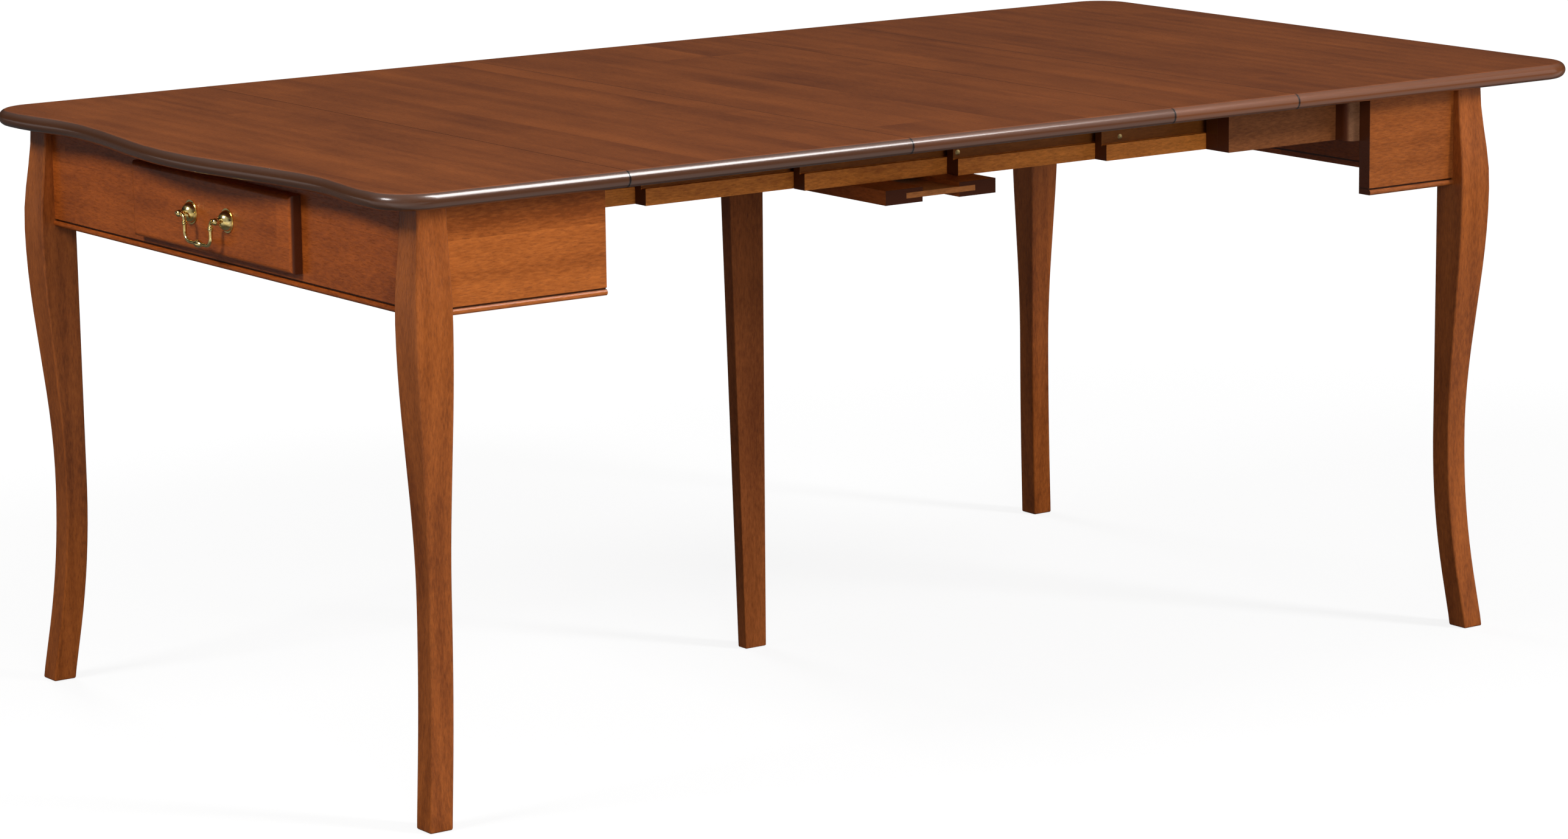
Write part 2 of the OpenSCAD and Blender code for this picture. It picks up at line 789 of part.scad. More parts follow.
// Runner under and beside a drawer side, from the apron to the rail behind the drawer
module drawer_runner(sx) {
    side_x = box_w / 2 + drawer_clear;
    color("burlywood")
        mirror([sx < 0 ? 1 : 0, 0, 0])
            translate([0, rail_y, 0])
                rotate([90, 0, 0])
                    linear_extrude(height = rail_y - apron_in_front_y)
                        polygon([
                            [side_x - runner_under, box_z - run_gap - runner_low],
                            [side_x + runner_w - runner_under, box_z - run_gap - runner_low],
                            [side_x + runner_w - runner_under, box_z + box_h / 2],
                            [side_x, box_z + box_h / 2],
                            [side_x, box_z - run_gap],
                            [side_x - runner_under, box_z - run_gap]]);
}

module drawer_runner_left() drawer_runner(-1);
module drawer_runner_right() drawer_runner(1);

module drawer_back_rail()
    color("burlywood")
        translate([-slide_x, rail_y, apron_z + bead_r * 2])
            cube([2 * slide_x, back_rail_t, apron_h - bead_r * 2]);

// Kicker above the drawer, which keeps it level when it is pulled out
module drawer_kicker()
    color("burlywood")
        translate([-kicker_w / 2, apron_in_front_y, open_z + open_h])
            cube([kicker_w, rail_y - apron_in_front_y, top_z - open_z - open_h]);

// Rosette: a stepped dome with a hole for the post
module pull_rosettes()
    color("gold")
        for (sx = [-1, 1])
            translate([sx * post_x, drawer_face_y, pull_z])
                rotate([90, 0, 0])
                    rotate_extrude()
                        union() {
                            translate([post_d / 2, 0])
                                square([rosette_d / 2 - post_d / 2, rim_t]);
                            intersection() {
                                translate([post_d / 2, 0])
                                    square([rosette_d / 2 - rim_w - post_d / 2, rosette_h]);
                                translate([0, rosette_h - dome_r])
                                    circle(r = dome_r, $fn = 96);
                            }
                        }

// Post: bolt with its nut inside the drawer, shaft through the rosette, collar, bored ball
module pull_posts() {
    depth = drawer_front_t + drawer_side_t;
    color("gold")
        for (sx = [-1, 1])
            translate([sx * post_x, drawer_face_y, pull_z])
                difference() {
                    rotate([90, 0, 0])
                        union() {
                            translate([0, 0, -depth - nut_t])
                                cylinder(r = bolt_r, h = depth + nut_t + 1);
                            translate([0, 0, -depth - nut_t])
                                cylinder(r = nut_r, h = nut_t, $fn = 6);
                            cylinder(d = post_d, h = post_len);
                            translate([0, 0, rosette_h])
                                rotate_extrude()
                                    translate([post_d / 2, collar_r])
                                        union() {
                                            circle(r = collar_r);
                                            translate([-post_d / 4, -collar_r])
                                                square([post_d / 4, 2 * collar_r]);
                                        }
                            translate([0, 0, post_len])
                                sphere(d = post_ball_d);
                        }
                    translate([-post_ball_d, -post_len, 0])
                        rotate([0, 90, 0])
                            cylinder(d = bail_pin_d + 2 * pin_clear, h = 2 * post_ball_d);
                }
}

// Quarter bend of the bail's rod in the XZ plane, round the point (x, z), from angle a on
module rod_bend(x, z, r, a)
    translate([x, 0, z])
        rotate([90, 0, 0])
            rotate([0, 0, a])
                rotate_extrude(angle = 90)
                    translate([r, 0])
                        circle(d = bail_d, $fn = 24);

// Bail: pins in the posts, swan-neck arms with two beads each, lower bends and a turned knop
module pull_bail() {
    neck_r = bail_in - post_ball_d / 2 - 1;
    top_run = post_ball_d / 2 + 1;
    low_z = -bail_drop + bail_d / 2;
    low_x = arm_x - bail_bend_r;
    color("gold")
        translate([0, pivot_y, pull_z])
            union() {
                for (sx = [-1, 1])
                    mirror([sx < 0 ? 1 : 0, 0, 0]) {
                        translate([post_x - top_run, 0, 0])
                            rotate([0, 90, 0])
                                cylinder(d = bail_pin_d, h = top_run + post_ball_d / 2 + pin_play);
                        translate([post_x + post_ball_d / 2 + pin_play, 0, 0])
                            rotate([0, 90, 0])
                                cylinder(d = bail_d, h = pin_head_t);
                        translate([post_x - top_run, 0, 0])
                            rotate([0, -90, 0])
                                cylinder(d = bail_d + 2 * pin_collar_w, h = pin_collar_t);
                        rod_bend(post_x - top_run, -neck_r, neck_r, 90);
                        translate([arm_x, 0, low_z + bail_bend_r])
                            cylinder(d = bail_d, h = -neck_r - low_z - bail_bend_r, $fn = 24);
                        for (k = [0:1])
                            translate([arm_x, 0, -neck_r - ring_drop - k * ring_step])
                                rotate_extrude()
                                    translate([bail_d / 2 - 0.2, 0])
                                        circle(r = ring_r, $fn = 24);
                        rod_bend(low_x, low_z + bail_bend_r, bail_bend_r, -90);
                    }
                translate([-low_x, 0, low_z])
                    rotate([0, 90, 0])
                        cylinder(d = bail_d, h = 2 * low_x, $fn = 24);
                translate([0, 0, low_z])
                    rotate([0, 90, 0])
                        rotate_extrude()
                            intersection() {
                                translate([bail_d / 4, -knop_d])
                                    square([knop_d, 2 * knop_d]);
                                translate([-knop_d, 0])
                                    circle(r = 1.5 * knop_d, $fn = 96);
                            }
            }
}

top_front();
leaf_1();
leaf_2();
leaf_3();
top_back();
leaf_pegs_1();
leaf_pegs_2();
top_pegs_front();
top_pegs_back();
leg_front_left();
leg_front_right();
leg_back_left();
leg_back_right();
apron_front_left();
apron_front_right();
apron_front_upper();
apron_front_lower();
apron_side_front_left();
apron_side_front_right();
apron_back();
apron_side_back_left();
apron_side_back_right();
corner_braces_front();
corner_braces_back();
slide_a_left();
slide_b_left();
slide_c_left();
slide_d_left();
slide_e_left();
slide_f_left();
slide_a_right();
slide_b_right();
slide_c_right();
slide_d_right();
slide_e_right();
slide_f_right();
slide_plank_left();
slide_plank_right();
slide_spacers();
bearer_front();
bearer_back();
bearer_plate();
middle_leg();
middle_leg_block();
drawer_front();
drawer_box_front();
drawer_side_left();
drawer_side_right();
drawer_back();
drawer_bottom();
drawer_runner_left();
drawer_runner_right();
drawer_back_rail();
drawer_kicker();
pull_rosettes();
pull_posts();
pull_bail();
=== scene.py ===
# %% [markdown]
# # An extending console table
# The real object is a wooden console table, pulled out and filled with three loose leaves. Its
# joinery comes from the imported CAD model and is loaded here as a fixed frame. This lesson gives it
# its looks: stained and lacquered wood with grain that follows each board, bare wooden slides, a
# polished brass pull, softened edges on the legs and the top, and the small screws that hold it
# together.

import json
import math

import bmesh
import bpy
from mathutils import Matrix, Vector


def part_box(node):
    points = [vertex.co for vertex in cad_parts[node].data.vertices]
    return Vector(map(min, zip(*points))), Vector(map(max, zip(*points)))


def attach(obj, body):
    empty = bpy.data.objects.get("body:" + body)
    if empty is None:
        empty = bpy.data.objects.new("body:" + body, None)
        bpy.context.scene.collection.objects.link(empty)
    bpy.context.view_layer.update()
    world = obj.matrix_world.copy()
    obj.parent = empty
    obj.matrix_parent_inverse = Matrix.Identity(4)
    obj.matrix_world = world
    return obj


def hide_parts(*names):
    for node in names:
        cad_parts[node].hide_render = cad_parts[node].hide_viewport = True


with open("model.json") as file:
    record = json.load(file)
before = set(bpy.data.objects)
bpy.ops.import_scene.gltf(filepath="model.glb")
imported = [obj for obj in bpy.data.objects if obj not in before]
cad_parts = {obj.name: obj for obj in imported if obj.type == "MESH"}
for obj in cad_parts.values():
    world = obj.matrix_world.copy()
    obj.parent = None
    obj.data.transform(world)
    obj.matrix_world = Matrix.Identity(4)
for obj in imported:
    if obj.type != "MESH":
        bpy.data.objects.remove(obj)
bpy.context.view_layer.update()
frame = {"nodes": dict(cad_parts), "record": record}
nodes = frame["nodes"]
bodies = frame["record"]["behaviour"]["bodies"]
body_of = {node: body for body, members in bodies.items() for node in members}

# %% [markdown]
# ## Camera
# The photo was taken with a long lens from the front right, a little above the table. Its place,
# angles and focal length were found by matching the feet, the seams and the edges of the top. The
# focal length was found in pixels of the photo, so it is turned into millimetres on the sensor. A
# camera looks along its own -Z, so it is turned up from the floor by a right angle less its pitch,
# then round by its yaw, and its roll comes first of all.

# %% Camera
PHOTO_WIDTH = 2576
FOCAL_PIXELS = 8359
SENSOR = 36
CAMERA_PLACE = (5.324, -3.841, 1.605)
YAW = math.radians(54.34)
PITCH = math.radians(11.185)
ROLL = math.radians(-0.683)
camera_data = bpy.data.cameras.new("camera")
camera_data.sensor_width = SENSOR
camera_data.lens = SENSOR * FOCAL_PIXELS / PHOTO_WIDTH
camera = bpy.data.objects.new("camera", camera_data)
bpy.context.scene.collection.objects.link(camera)
camera.matrix_world = (
    Matrix.Translation(CAMERA_PLACE)
    @ Matrix.Rotation(YAW, 4, "Z")
    @ Matrix.Rotation(math.pi / 2 - PITCH, 4, "X")
    @ Matrix.Rotation(ROLL, 4, "Z")
)
bpy.context.scene.camera = camera
print("camera lens", round(camera_data.lens, 1), "mm")

# %% [markdown]
# ## Shader maths
# A finish is worked out from the position on the piece. Writing that as sums keeps it readable, so
# a small class wraps an output socket and lets it be added, subtracted and multiplied. Each
# operation adds one Math node. Every other node comes from `Finish.node`.


# %% Shader maths
class Value:
    """One output of a shader node, usable in sums."""

    def __init__(self, finish, socket):
        self.finish = finish
        self.socket = socket

    def math(self, operation, *others):
        sockets = dict(enumerate((self,) + others))
        return self.finish.node("Math", {"operation": operation}, sockets)

    def __add__(self, other):
        return self.math("ADD", other)

    def __mul__(self, other):
        return self.math("MULTIPLY", other)

    def __sub__(self, other):
        return self.math("SUBTRACT", other)

    def __truediv__(self, other):
        return self.math("DIVIDE", other)

    def __rsub__(self, other):
        return self.finish.node("Math", {"operation": "SUBTRACT"}, {0: other, 1: self})

    __radd__ = __add__
    __rmul__ = __mul__


class Finish:
    """A material, or the world, under construction."""

    def __init__(self, name, tree=None):
        if tree is None:
            self.material = bpy.data.materials.new(name)
            self.material.use_nodes = True
            tree = self.material.node_tree
        self.tree = tree
        self.tree.nodes.clear()

    def node(self, kind, settings=None, inputs=None, out=0):
        """Add a node with its settings, then give its sockets their values or links."""
        node = self.tree.nodes.new("ShaderNode" + kind)
        for name, value in (settings or {}).items():
            if name == "stops":
                ramp = node.color_ramp.elements
                while len(ramp) < len(value):
                    ramp.new(0.5)
                for element, (position, colour) in zip(ramp, value):
                    element.position = position
                    element.color = (*colour, 1)
            else:
                setattr(node, name, value)
        for key, value in (inputs or {}).items():
            if isinstance(value, Value):
                self.tree.links.new(value.socket, node.inputs[key])
            else:
                node.inputs[key].default_value = value
        return Value(self, node.outputs[out]) if node.outputs else None

    def parts(self, name):
        """x, y and z of one output of the Texture Coordinate node."""
        split = self.node("SeparateXYZ", None, {0: self.node("TexCoord", out=name)})
        return [Value(self, split.socket.node.outputs[i]) for i in range(3)]

    def position(self):
        """x, y and z of the point, in metres in the table's own frame."""
        return self.parts("Object")

    def facing(self):
        """x, y and z of the surface normal."""
        return self.parts("Normal")

    def rays(self):
        """Two masks: what the camera sees, straight or through glass, and what the gloss shows."""
        straight = self.node("LightPath", out="Is Camera Ray")
        through = self.node("LightPath", out="Is Transmission Ray")
        return straight + through, self.node("LightPath", out="Is Glossy Ray")

    def vector(self, x, y, z):
        return self.node("CombineXYZ", None, {0: x, 1: y, 2: z})

    def noise(self, place, detail=3.0, roughness=0.5, distortion=0.0):
        sockets = {"Vector": place, "Scale": 1.0, "Detail": detail, "Roughness": roughness,
                   "Distortion": distortion}
        return self.node("TexNoise", None, sockets)

    def random(self, number):
        """A random number from 0 to 1 that is fixed for each whole number."""
        return self.node("TexWhiteNoise", {"noise_dimensions": "1D"}, {"W": number})

    def step(self, value, low, high, top=1.0):
        """0 below low, top above high, and a smooth rise between them."""
        sockets = {"Value": value, "From Min": low, "From Max": high, "To Min": 0.0, "To Max": top}
        return self.node("MapRange", {"interpolation_type": "SMOOTHSTEP"}, sockets)

    def mix(self, factor, first, second):
        """Go from the first colour to the second."""
        colours = [value if isinstance(value, Value) else (*value, 1) for value in (first, second)]
        sockets = {0: factor, 6: colours[0], 7: colours[1]}
        return self.node("Mix", {"data_type": "RGBA"}, sockets, out=2)

    def close(self, **sockets):
        """Join the sums to a Principled BSDF and the output."""
        names = {
            "colour": "Base Color",
            "roughness": "Roughness",
            "metallic": "Metallic",
            "normal": "Normal",
            "coat": "Coat Weight",
            "coat_roughness": "Coat Roughness",
            "specular": "Specular IOR Level",
        }
        inputs = {names[key]: value for key, value in sockets.items()}
        shader = self.node("BsdfPrincipled", None, inputs)
        self.node("OutputMaterial", None, {"Surface": shader})
        return self.material


print("shader helpers ready")

# %% [markdown]
# ## Studio
# The photo is a packshot: white all round, with the table lit by soft lamps. The world is white for
# the camera. For all else it is a dim dome, because the camera looks along the top at such a low
# angle that a bright horizon would wash the wood out. Its front is brighter in the gloss, for the
# brass. The floor is white for the camera too, but it keeps the table's soft shadow. In the gloss it
# is dark grey with a faint glow, and two parts of it glow brighter there alone, as painted
# reflections: one for the brass, and a strip on the right that draws the grey band low on the edge
# of the top.

# %% World
WHITE = (1, 1, 1, 1)
# The level direction that the brass mirrors: a little to the right of straight ahead
FRONT_X = 0.34
FRONT_Y = -0.94


def frontwards(x, y):
    """How far a place or a direction lies towards the front."""
    return x * FRONT_X + y * FRONT_Y


scene = bpy.context.scene
scene.view_settings.view_transform = "Standard"
world = bpy.data.worlds.new("studio")
scene.world = world
world.use_nodes = True
dome = Finish("studio world", world.node_tree)
seen, mirrored = dome.rays()
sky_x, sky_y, height = dome.parts("Generated")
overhead = dome.step(height, 0.45, 0.95, 0.35)
ahead = dome.step(frontwards(sky_x, sky_y), 0.6, 0.9, 0.4)
fill = dome.step(height, 0.15, 1.0, 0.32) + 0.02
dim = dome.node("Background", None, {"Color": WHITE, "Strength": fill})
white = dome.node("Background", None, {"Color": WHITE, "Strength": 1.0})
share = seen + mirrored * (overhead + ahead)
both = dome.node("MixShader", None, {0: share, 1: dim, 2: white})
dome.node("OutputWorld", None, {"Surface": both})
print("world ready")

# %% Floor
FLOOR_SIZE = 60
FLOOR_DROP = 0.0002
LIT_GREY = (0.15, 0.15, 0.15, 1)
DARK_GREY = (0.03, 0.03, 0.03, 1)


def floor_finish():
    f = Finish("studio floor")
    seen, mirrored = f.rays()
    place = f.node("TexCoord", out="Object")
    away = f.node("VectorMath", {"operation": "LENGTH"}, {0: place}, out="Value")
    glow = f.step(away, 1.2, 5.0, 0.17) + 0.85
    x, y, _ = f.position()
    # Painted reflections: a strip on the right and a patch in front glow in the gloss only
    strip = f.step(x, 0.42, 0.65, 0.5) * (1 - f.step(x, 1.4, 2.2))
    patch = f.step(frontwards(x, y), 1.3, 2.4, 0.6)
    reflected = mirrored * (patch + strip + 0.06)
    lit = f.node("BsdfDiffuse", None, {"Color": LIT_GREY})
    dark = f.node("BsdfDiffuse", None, {"Color": DARK_GREY})
    ground = f.node("MixShader", None, {0: mirrored, 1: lit, 2: dark})
    white = f.node("Emission", None, {"Color": WHITE, "Strength": seen * glow + reflected})
    f.node("OutputMaterial", None, {"Surface": f.node("AddShader", None, {0: ground, 1: white})})
    return f.material


bpy.ops.object.select_all(action="DESELECT")
bpy.ops.mesh.primitive_plane_add(size=FLOOR_SIZE, location=(0, 0, -FLOOR_DROP))
floor = bpy.context.object
floor.name = "studio_floor"
floor.data.materials.append(floor_finish())
print("floor ready")

# %% [markdown]
# ## Lamps
# A tall softbox at the back right lights the right sides. The white line along the rounded edge of
# the top is the mirror image of a long lamp above it, and a large screen at the back right gives
# the far part of that edge its grey sheen. A box in front and above lights the front and casts the
# top's shadow on the aprons. Three weak lamps fill in: one of them is low on the right and reaches
# the slides under the top. Lamps that only fill in are kept out of the gloss, and the long lamp
# shows in the gloss alone.


# %% Lamps
def softbox(name, place, target, size, watts, mirrored=True, lights=True):
    """A rectangular lamp aimed at a point. One that isn't mirrored makes no highlight, and one that
    doesn't light makes nothing else."""
    lamp = bpy.data.lights.new(name, "AREA")
    lamp.shape = "RECTANGLE"
    lamp.size, lamp.size_y = size
    lamp.energy = watts
    lamp_object = bpy.data.objects.new(name, lamp)
    scene.collection.objects.link(lamp_object)
    aim = (Vector(target) - Vector(place)).to_track_quat("-Z", "Y").to_matrix().to_4x4()
    lamp_object.matrix_world = Matrix.Translation(place) @ aim
    lamp_object.visible_glossy = mirrored
    lamp_object.visible_diffuse = lights


softbox("back right softbox", (5.18, 3.17, 4.26), (0.5, -0.65, 0.73), (1.1, 2.3), 322,
        mirrored=False)
softbox("edge light", (1.65, 0.72, 2.9), (0.5, -0.5, 0.74), (1.0, 2.2), 150, lights=False)
softbox("far edge screen", (4.5, 5.1, 2.0), (0.5, 0.6, 0.7), (3.2, 3.6), 32)
softbox("low right screen", (5.5, -0.6, 0.9), (0.4, -0.2, 0.7), (3.0, 1.4), 62, mirrored=False)
softbox("front right softbox", (3.5, -2.2, 2.0), (0.3, -0.5, 0.6), (1.2, 1.2), 42, mirrored=False)
softbox("front softbox", (0.0, -4.2, 3.3), (0.0, -0.5, 0.5), (1.4, 1.0), 110)
softbox("left softbox", (-3.9, 0.2, 2.2), (0.0, 0.0, 0.5), (1.4, 1.4), 60, mirrored=False)
print("lamps ready")

# %% [markdown]
# ## Stained wood
# Furniture boards like these are glued up from narrow staves of a plain, short-grained wood, then
# stained reddish brown and lacquered. Four things make such a surface: each stave takes the stain
# a little differently, long soft streaks run along the grain, short dark pores lie along it too,
# and end grain drinks more stain and turns darker. All of them are stretched noise, so the same
# recipe serves every board once it knows which way the grain runs.


# %% Wood recipe
AXES = {"X": (0, 1, 2), "Y": (1, 0, 2), "Z": (2, 0, 1)}
# Scale of each pattern along the grain and across it, per metre
STREAKS = (1.4, 26.0)
FIBRES = (85.0, 380.0)
CLOUDS = (5.0, 11.0)
ARCHES = (0.55, 7.0)
PORES = (140.0, 900.0)
# Share of the clouds, of the arches and of the stave's own tone in the shade
CLOUD_SHARE = 0.50
ARCH_SHARE = 0.11
LOT_SHARE = 0.20
# Half the width of a glue line, the blur of a painted line and the radius of an arris, in metres
GLUE_LINE = 0.0006
BLUR = 0.0004
ARRIS = 0.0010
RELIEF = 0.0004
COAT_ROUGHNESS = 0.16
# Near-black painted shade for the gap where two boards of the top meet
SEAM_SHADE = (0.006, 0.003, 0.002)


def deeper(colour, share):
    """A colour brought down to a share of itself."""
    return tuple(part * share for part in colour)


def wood(name, grain, dark, mid, light, seed, stave=None, end=None, rim=None, seams=None,
         shade_band=None, boards=None, tone=0.5, figure=0.5, pore=0.28, streak=0.18, fleck=0.55,
         coat=0.0, specular=0.25, roughness=0.34, bump=0.3):
    """Wood with its grain along the axis `grain`, stained from dark to light.

    stave is the axis across the glued staves, their width, their length and a shift. end is the
    colour of end grain, and rim that of the rounded edge of a top, partly a darker stain and partly
    painted shade. seams are the two y where the top ends against its neighbours, where painted shade
    turns the seam dark. shade_band is a band of height painted darker as shade, and how strongly.
    boards is the height of a glue line in an apron and how much darker the board above it is, partly
    its own tone and partly painted shade. streak and fleck are the strength of the long and of the
    short grain."""
    f = Finish(name)
    place = f.position()
    along, across, third = (place[i] for i in AXES[grain])
    if stave:
        lay_axis, width, length, offset = stave
        lay = (place["XYZ".index(lay_axis)] + (offset + 5.0)) / width
        row = lay.math("FLOOR")
        piece = ((along + 9.0) / length + f.random(row + seed) * 7.0).math("FLOOR")
        lot = f.random(row * 3.7 + piece * 17.3 + seed)
        from_middle = (lay.math("FRACT") - 0.5).math("ABSOLUTE")
        joint = f.step(from_middle, 0.5 - GLUE_LINE / width, 0.5)
    else:
        lot = f.random(seed + 0.5)
        joint = None
    start = lot * 11.0 + seed

    def stretched(pattern, beside=0.0, behind=0.0):
        """The place in a pattern's own scale, moved along by this stave's start."""
        lengthwise, crosswise = pattern
        return f.vector(along * lengthwise + start, across * crosswise + beside,
                        third * crosswise + behind)

    streaks = f.noise(stretched(STREAKS, beside=start), 3.0, 0.5, 0.3)
    fibres = f.noise(stretched(FIBRES, behind=start), 3.0, 0.65)
    clouds = f.noise(stretched(CLOUDS, behind=start), 3.0, 0.55)
    arches = f.node(
        "TexWave",
        {"wave_type": "RINGS", "rings_direction": "X"},
        {"Vector": stretched(ARCHES, beside=lot * 2.0), "Scale": 2.2, "Distortion": 4.0,
         "Detail": 2.0, "Detail Scale": 1.0, "Detail Roughness": 0.5},
        out="Fac",
    )
    pore_mask = f.step(f.noise(stretched(PORES), 2.0, 0.5), 0.52, 0.70)

    # Each pattern averages about a half, and what comes off brings the mean shade back to a half.
    arch, own = ARCH_SHARE * figure, LOT_SHARE * tone
    surplus = 0.5 * (streak + fleck + CLOUD_SHARE + arch + own) - 0.5
    shade = (streaks * streak + fibres * fleck + clouds * CLOUD_SHARE + arches * arch + lot * own
             - surplus)
    # The board above a glue line turns darker: partly its own tone, partly painted shade
    if boards:
        glue_height, darker = boards
        shade = shade - f.step(place[2], glue_height - BLUR, glue_height + BLUR) * darker
    stops = [(0.30, dark), (0.50, mid), (0.70, light)]
    colour = f.node("ValToRGB", {"stops": stops}, {"Fac": shade})
    colour = f.mix(pore_mask * pore, colour, deeper(dark, 0.45))
    if joint:
        colour = f.mix(joint * 0.35, colour, deeper(dark, 0.5))
    if end:
        square = f.facing()["XYZ".index(grain)].math("ABSOLUTE")
        colour = f.mix(f.step(square, 0.6, 0.9), colour, end)
    # The rounded edge of a top: partly a darker stain, partly painted shade
    if rim:
        edge = 1 - f.step(f.facing()[2].math("ABSOLUTE"), 0.90, 1.0)
        colour = f.mix(edge, colour, rim)
        # Painted shade: near-black seams where two boards of the top meet, strongest on the rounded
        # edge
        to_seams = [(place[1] - seam).math("ABSOLUTE") for seam in seams]
        near = 1 - f.step(to_seams[0].math("MINIMUM", to_seams[1]), 0.0008, 0.0020)
        colour = f.mix(near * (edge * 0.7 + 0.15), colour, SEAM_SHADE)
    # Painted shade: a dark band between two heights
    if shade_band:
        low, high, strength = shade_band
        band = f.step(place[2], low - BLUR, low) * (1 - f.step(place[2], high, high + BLUR))
        colour = f.mix(band * strength, colour, deeper(dark, 0.3))

    soft = f.node("Bevel", {"samples": 4}, {"Radius": ARRIS})
    relief = fibres * 0.6 + streaks * 0.3 - pore_mask * 0.5
    normal = f.node("Bump", None, {"Strength": bump, "Distance": RELIEF, "Height": relief,
                                   "Normal": soft})
    shine = fibres * 0.12 + pore_mask * 0.12 + (roughness - 0.08)
    return f.close(colour=colour, roughness=shine, normal=normal, coat=coat,
                   coat_roughness=COAT_ROUGHNESS, specular=specular)


print("wood recipe ready")

# %% [markdown]
# ## Stains
# Every stain is a dark, a middle and a light colour around one mean, in linear values. Blue and
# green change more than red from dark to light, which makes the dark end redder. Aprons, legs,
# slides and bearers differ in colour in the photo, so each gets its own stain. The back side aprons
# and the middle leg get darker copies of the side aprons' and the legs' stains: painted shade.


# %% Stains
def shades(mid, spread=0.42):
    """Dark, middle and light stain around one colour; the dark end is also redder."""
    dark = tuple(part * (1 - spread * more) for part, more in zip(mid, (1.0, 1.15, 1.25)))
    light = tuple(part * (1 + spread * more) for part, more in zip(mid, (1.0, 1.15, 1.3)))
    return dark, mid, light


TOP_STAIN = shades((0.315, 0.080, 0.014), 0.36)
SIDE_STAIN = shades((0.360, 0.096, 0.017))
# Painted shade: a darker copy of the side aprons' stain for the back ones, which get less light
BACK_SIDE_SHADED_STAIN = shades((0.270, 0.072, 0.014))
FRONT_STAIN = shades((0.340, 0.074, 0.010))
LEG_STAIN = shades((0.280, 0.072, 0.013))
# Painted shade: a darker copy of the legs' stain for the middle leg, which stands in the shade of
# the top
MIDDLE_LEG_SHADED_STAIN = shades((0.200, 0.054, 0.013))
DEEP_STAIN = shades((0.240, 0.056, 0.010))
HONEY = shades((0.540, 0.172, 0.028))
GREY_BROWN = shades((0.222, 0.074, 0.023))
PALE_GREY = shades((0.200, 0.088, 0.042), 0.3)
PLY = shades((0.260, 0.090, 0.024))
PALE = shades((0.560, 0.320, 0.145), 0.3)
# Colours of the rounded edge of the top: partly a darker stain, partly painted shade, darkest at the
# front and lighter towards the back
DARK_RIM = (0.075, 0.026, 0.010)
MIDDLE_RIM = (0.100, 0.032, 0.011)
LIGHT_RIM = (0.160, 0.048, 0.014)
END_GRAIN = (0.085, 0.020, 0.006)
BEARER_END = (0.045, 0.012, 0.005)
print("stains ready")

# %% [markdown]
# ## The boards of the top
# The top is five boards, all with staves across the table. Each one gets its own seed, so that no
# figure runs on across a seam, and its own rim colour: the rounded edge is stained darker than the
# flat, and painted shade makes it dark at the front and lighter towards the back. Only an end that
# meets a neighbour gets a seam, painted as near-black shade.


# %% Finish the top
STAVE_WIDTH = 0.0825
STAVE_LENGTH = 1.7
STAVE_SHIFT = 0.013
BOARDS = (("top_front", DARK_RIM), ("leaf_1", DARK_RIM), ("leaf_2", MIDDLE_RIM),
          ("leaf_3", LIGHT_RIM), ("top_back", LIGHT_RIM))


def dress(node, material):
    """Put one material on a CAD node."""
    data = nodes[node].data
    data.materials.clear()
    data.materials.append(material)


for number, (node, rim) in enumerate(BOARDS):
    low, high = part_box(node)
    outer = {"top_front": (high[1], high[1]), "top_back": (low[1], low[1])}
    seams = outer.get(node, (low[1], high[1]))
    stave = ("Y", STAVE_WIDTH, STAVE_LENGTH, STAVE_SHIFT * number)
    dress(node, wood("lacquered " + node, "X", *TOP_STAIN, seed=3.0 + 7.1 * number, stave=stave,
                     rim=rim, seams=seams, tone=0.45, pore=0.3, streak=0.32, fleck=0.30, coat=0.7,
                     specular=0.3, roughness=0.36, bump=0.12))
print(len(BOARDS), "boards of the top dressed")

# %% [markdown]
# ## The frame, the slides and the drawer
# The grain follows the length of each piece: along X in the front and back, along Y in the sides
# and slides, and upright in the legs. The quirk above the aprons' bead, and the slides from their
# lower lip up, get a dark band of painted shade. The drawer box, braces and pegs stay pale.

# %% Finish the other boards
# Lower and upper height of each band of painted shade, and how strong it is
QUIRK = (0.6070, 0.6089, 1.0)
GROOVE = (0.6907, 0.7300, 0.75)
# Height of the glue line in the side aprons, and how much darker the wood above it is: partly the
# upper board's own tone, partly painted shade from the top's overhang
SIDE_BOARDS = (0.686, 0.14)

apron_cross = wood("apron across", "X", *FRONT_STAIN, seed=41.0, stave=("Z", 0.085, 0.7, 0.01),
                   end=END_GRAIN, shade_band=QUIRK)
apron_along = wood("apron along", "Y", *SIDE_STAIN, seed=52.0, end=END_GRAIN, shade_band=QUIRK,
                   boards=SIDE_BOARDS)
apron_behind = wood("apron along, behind", "Y", *BACK_SIDE_SHADED_STAIN, seed=57.0, end=END_GRAIN,
                    shade_band=QUIRK)
drawer_face = wood("drawer face", "X", *FRONT_STAIN, seed=63.0, stave=("Z", 0.052, 0.6, 0.02),
                   end=END_GRAIN)
leg_wood = wood("leg wood", "Z", *LEG_STAIN, seed=74.0, figure=0.8, tone=0.2)
middle_leg_wood = wood("middle leg wood", "Z", *MIDDLE_LEG_SHADED_STAIN, seed=77.0, figure=0.8, tone=0.2,
                       specular=0.12)
slide_wood = wood("slide wood", "Y", *HONEY, seed=85.0, end=END_GRAIN, shade_band=GROOVE,
                  specular=0.2, roughness=0.45)
plank_wood = wood("plank wood", "Y", *GREY_BROWN, seed=96.0, end=END_GRAIN, specular=0.2,
                  roughness=0.5)
spacer_wood = wood("spacer wood", "Y", *PALE_GREY, seed=99.0, end=END_GRAIN, specular=0.2,
                   roughness=0.5)
bearer_wood = wood("bearer wood", "X", *DEEP_STAIN, seed=107.0, end=BEARER_END, specular=0.1,
                   roughness=0.5)
plywood = wood("plywood", "Y", *PLY, seed=140.0, specular=0.2, roughness=0.45)
